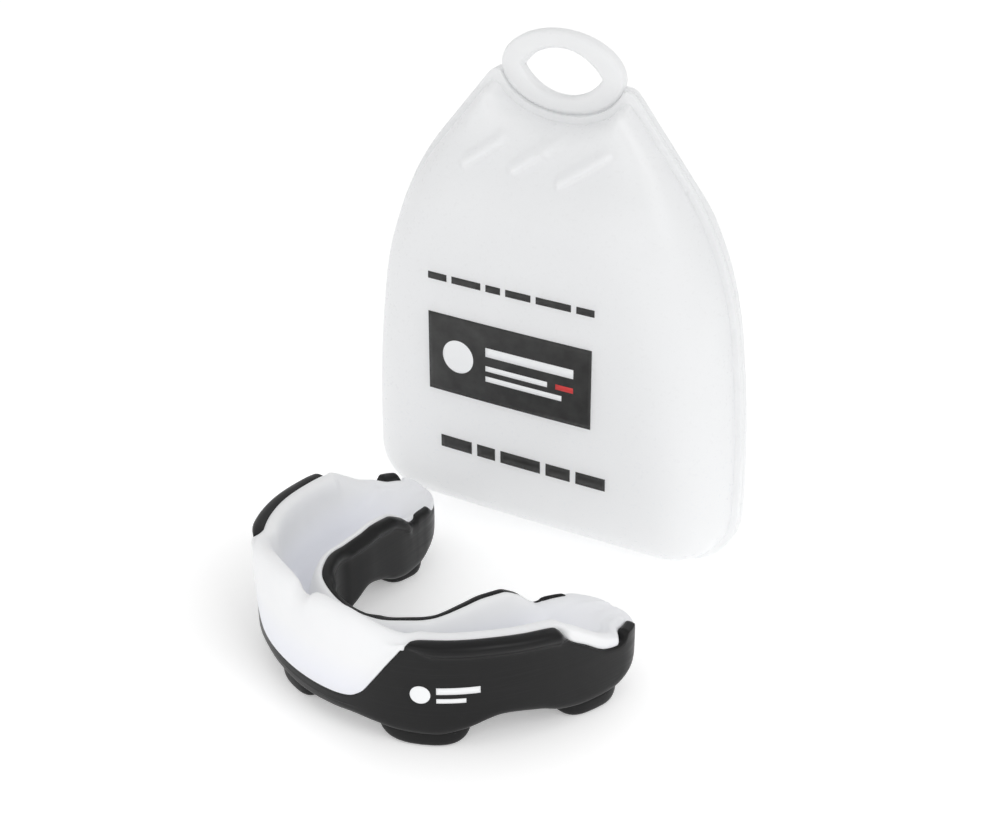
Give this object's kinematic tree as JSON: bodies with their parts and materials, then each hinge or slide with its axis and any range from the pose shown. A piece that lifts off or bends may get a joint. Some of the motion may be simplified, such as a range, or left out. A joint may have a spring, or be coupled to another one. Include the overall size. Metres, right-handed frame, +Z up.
{
  "type": "mouthguard with case",
  "caption": "Bicolour boil-and-bite boxing mouthguard with shock pads, standing beside its frosted clamshell carry case with a hanging ring.",
  "frame": {"origin": "floor level, centre of the footprint of the whole set, which is also the middle of the case width", "axes": "+Z up, -Y towards the front of the case and the mouthguard, +X to the case's right as seen from the front"},
  "size_m": [0.0724, 0.0842, 0.0938],
  "materials": {
    "frosted_pp": "frosted translucent polypropylene",
    "frosted_pp_web": "thin frosted polypropylene, flexed",
    "white_eva": "satin soft EVA",
    "black_eva": "satin fine-grained rubber",
    "black_pad": "satin rubber"
  },
  "bodies": {
    "case_front": {"case_front_shell": "frosted_pp", "hinge_web": "frosted_pp_web"},
    "case_back": {"case_back_shell": "frosted_pp"},
    "mouthguard": {"guard_inner_liner": "white_eva", "guard_outer_shell": "black_eva", "shock_pad_front_left": "black_pad", "shock_pad_front_right": "black_pad", "shock_pad_rear_left": "black_pad", "shock_pad_rear_right": "black_pad"}
  },
  "joints": [
    {"name": "case_hinge", "type": "hinge", "parent": "case_front", "child": "case_back", "pos_m": [0, 0.03009, 0.0002], "axis": [-1, 0, 0], "range_deg": [0, 178], "deforming": ["hinge_web"]},
    {"name": "guard_lift", "type": "slide", "parent": "case_front", "child": "mouthguard", "axis": [0, 0, 1], "range_m": [0, 0.13]}
  ]
}
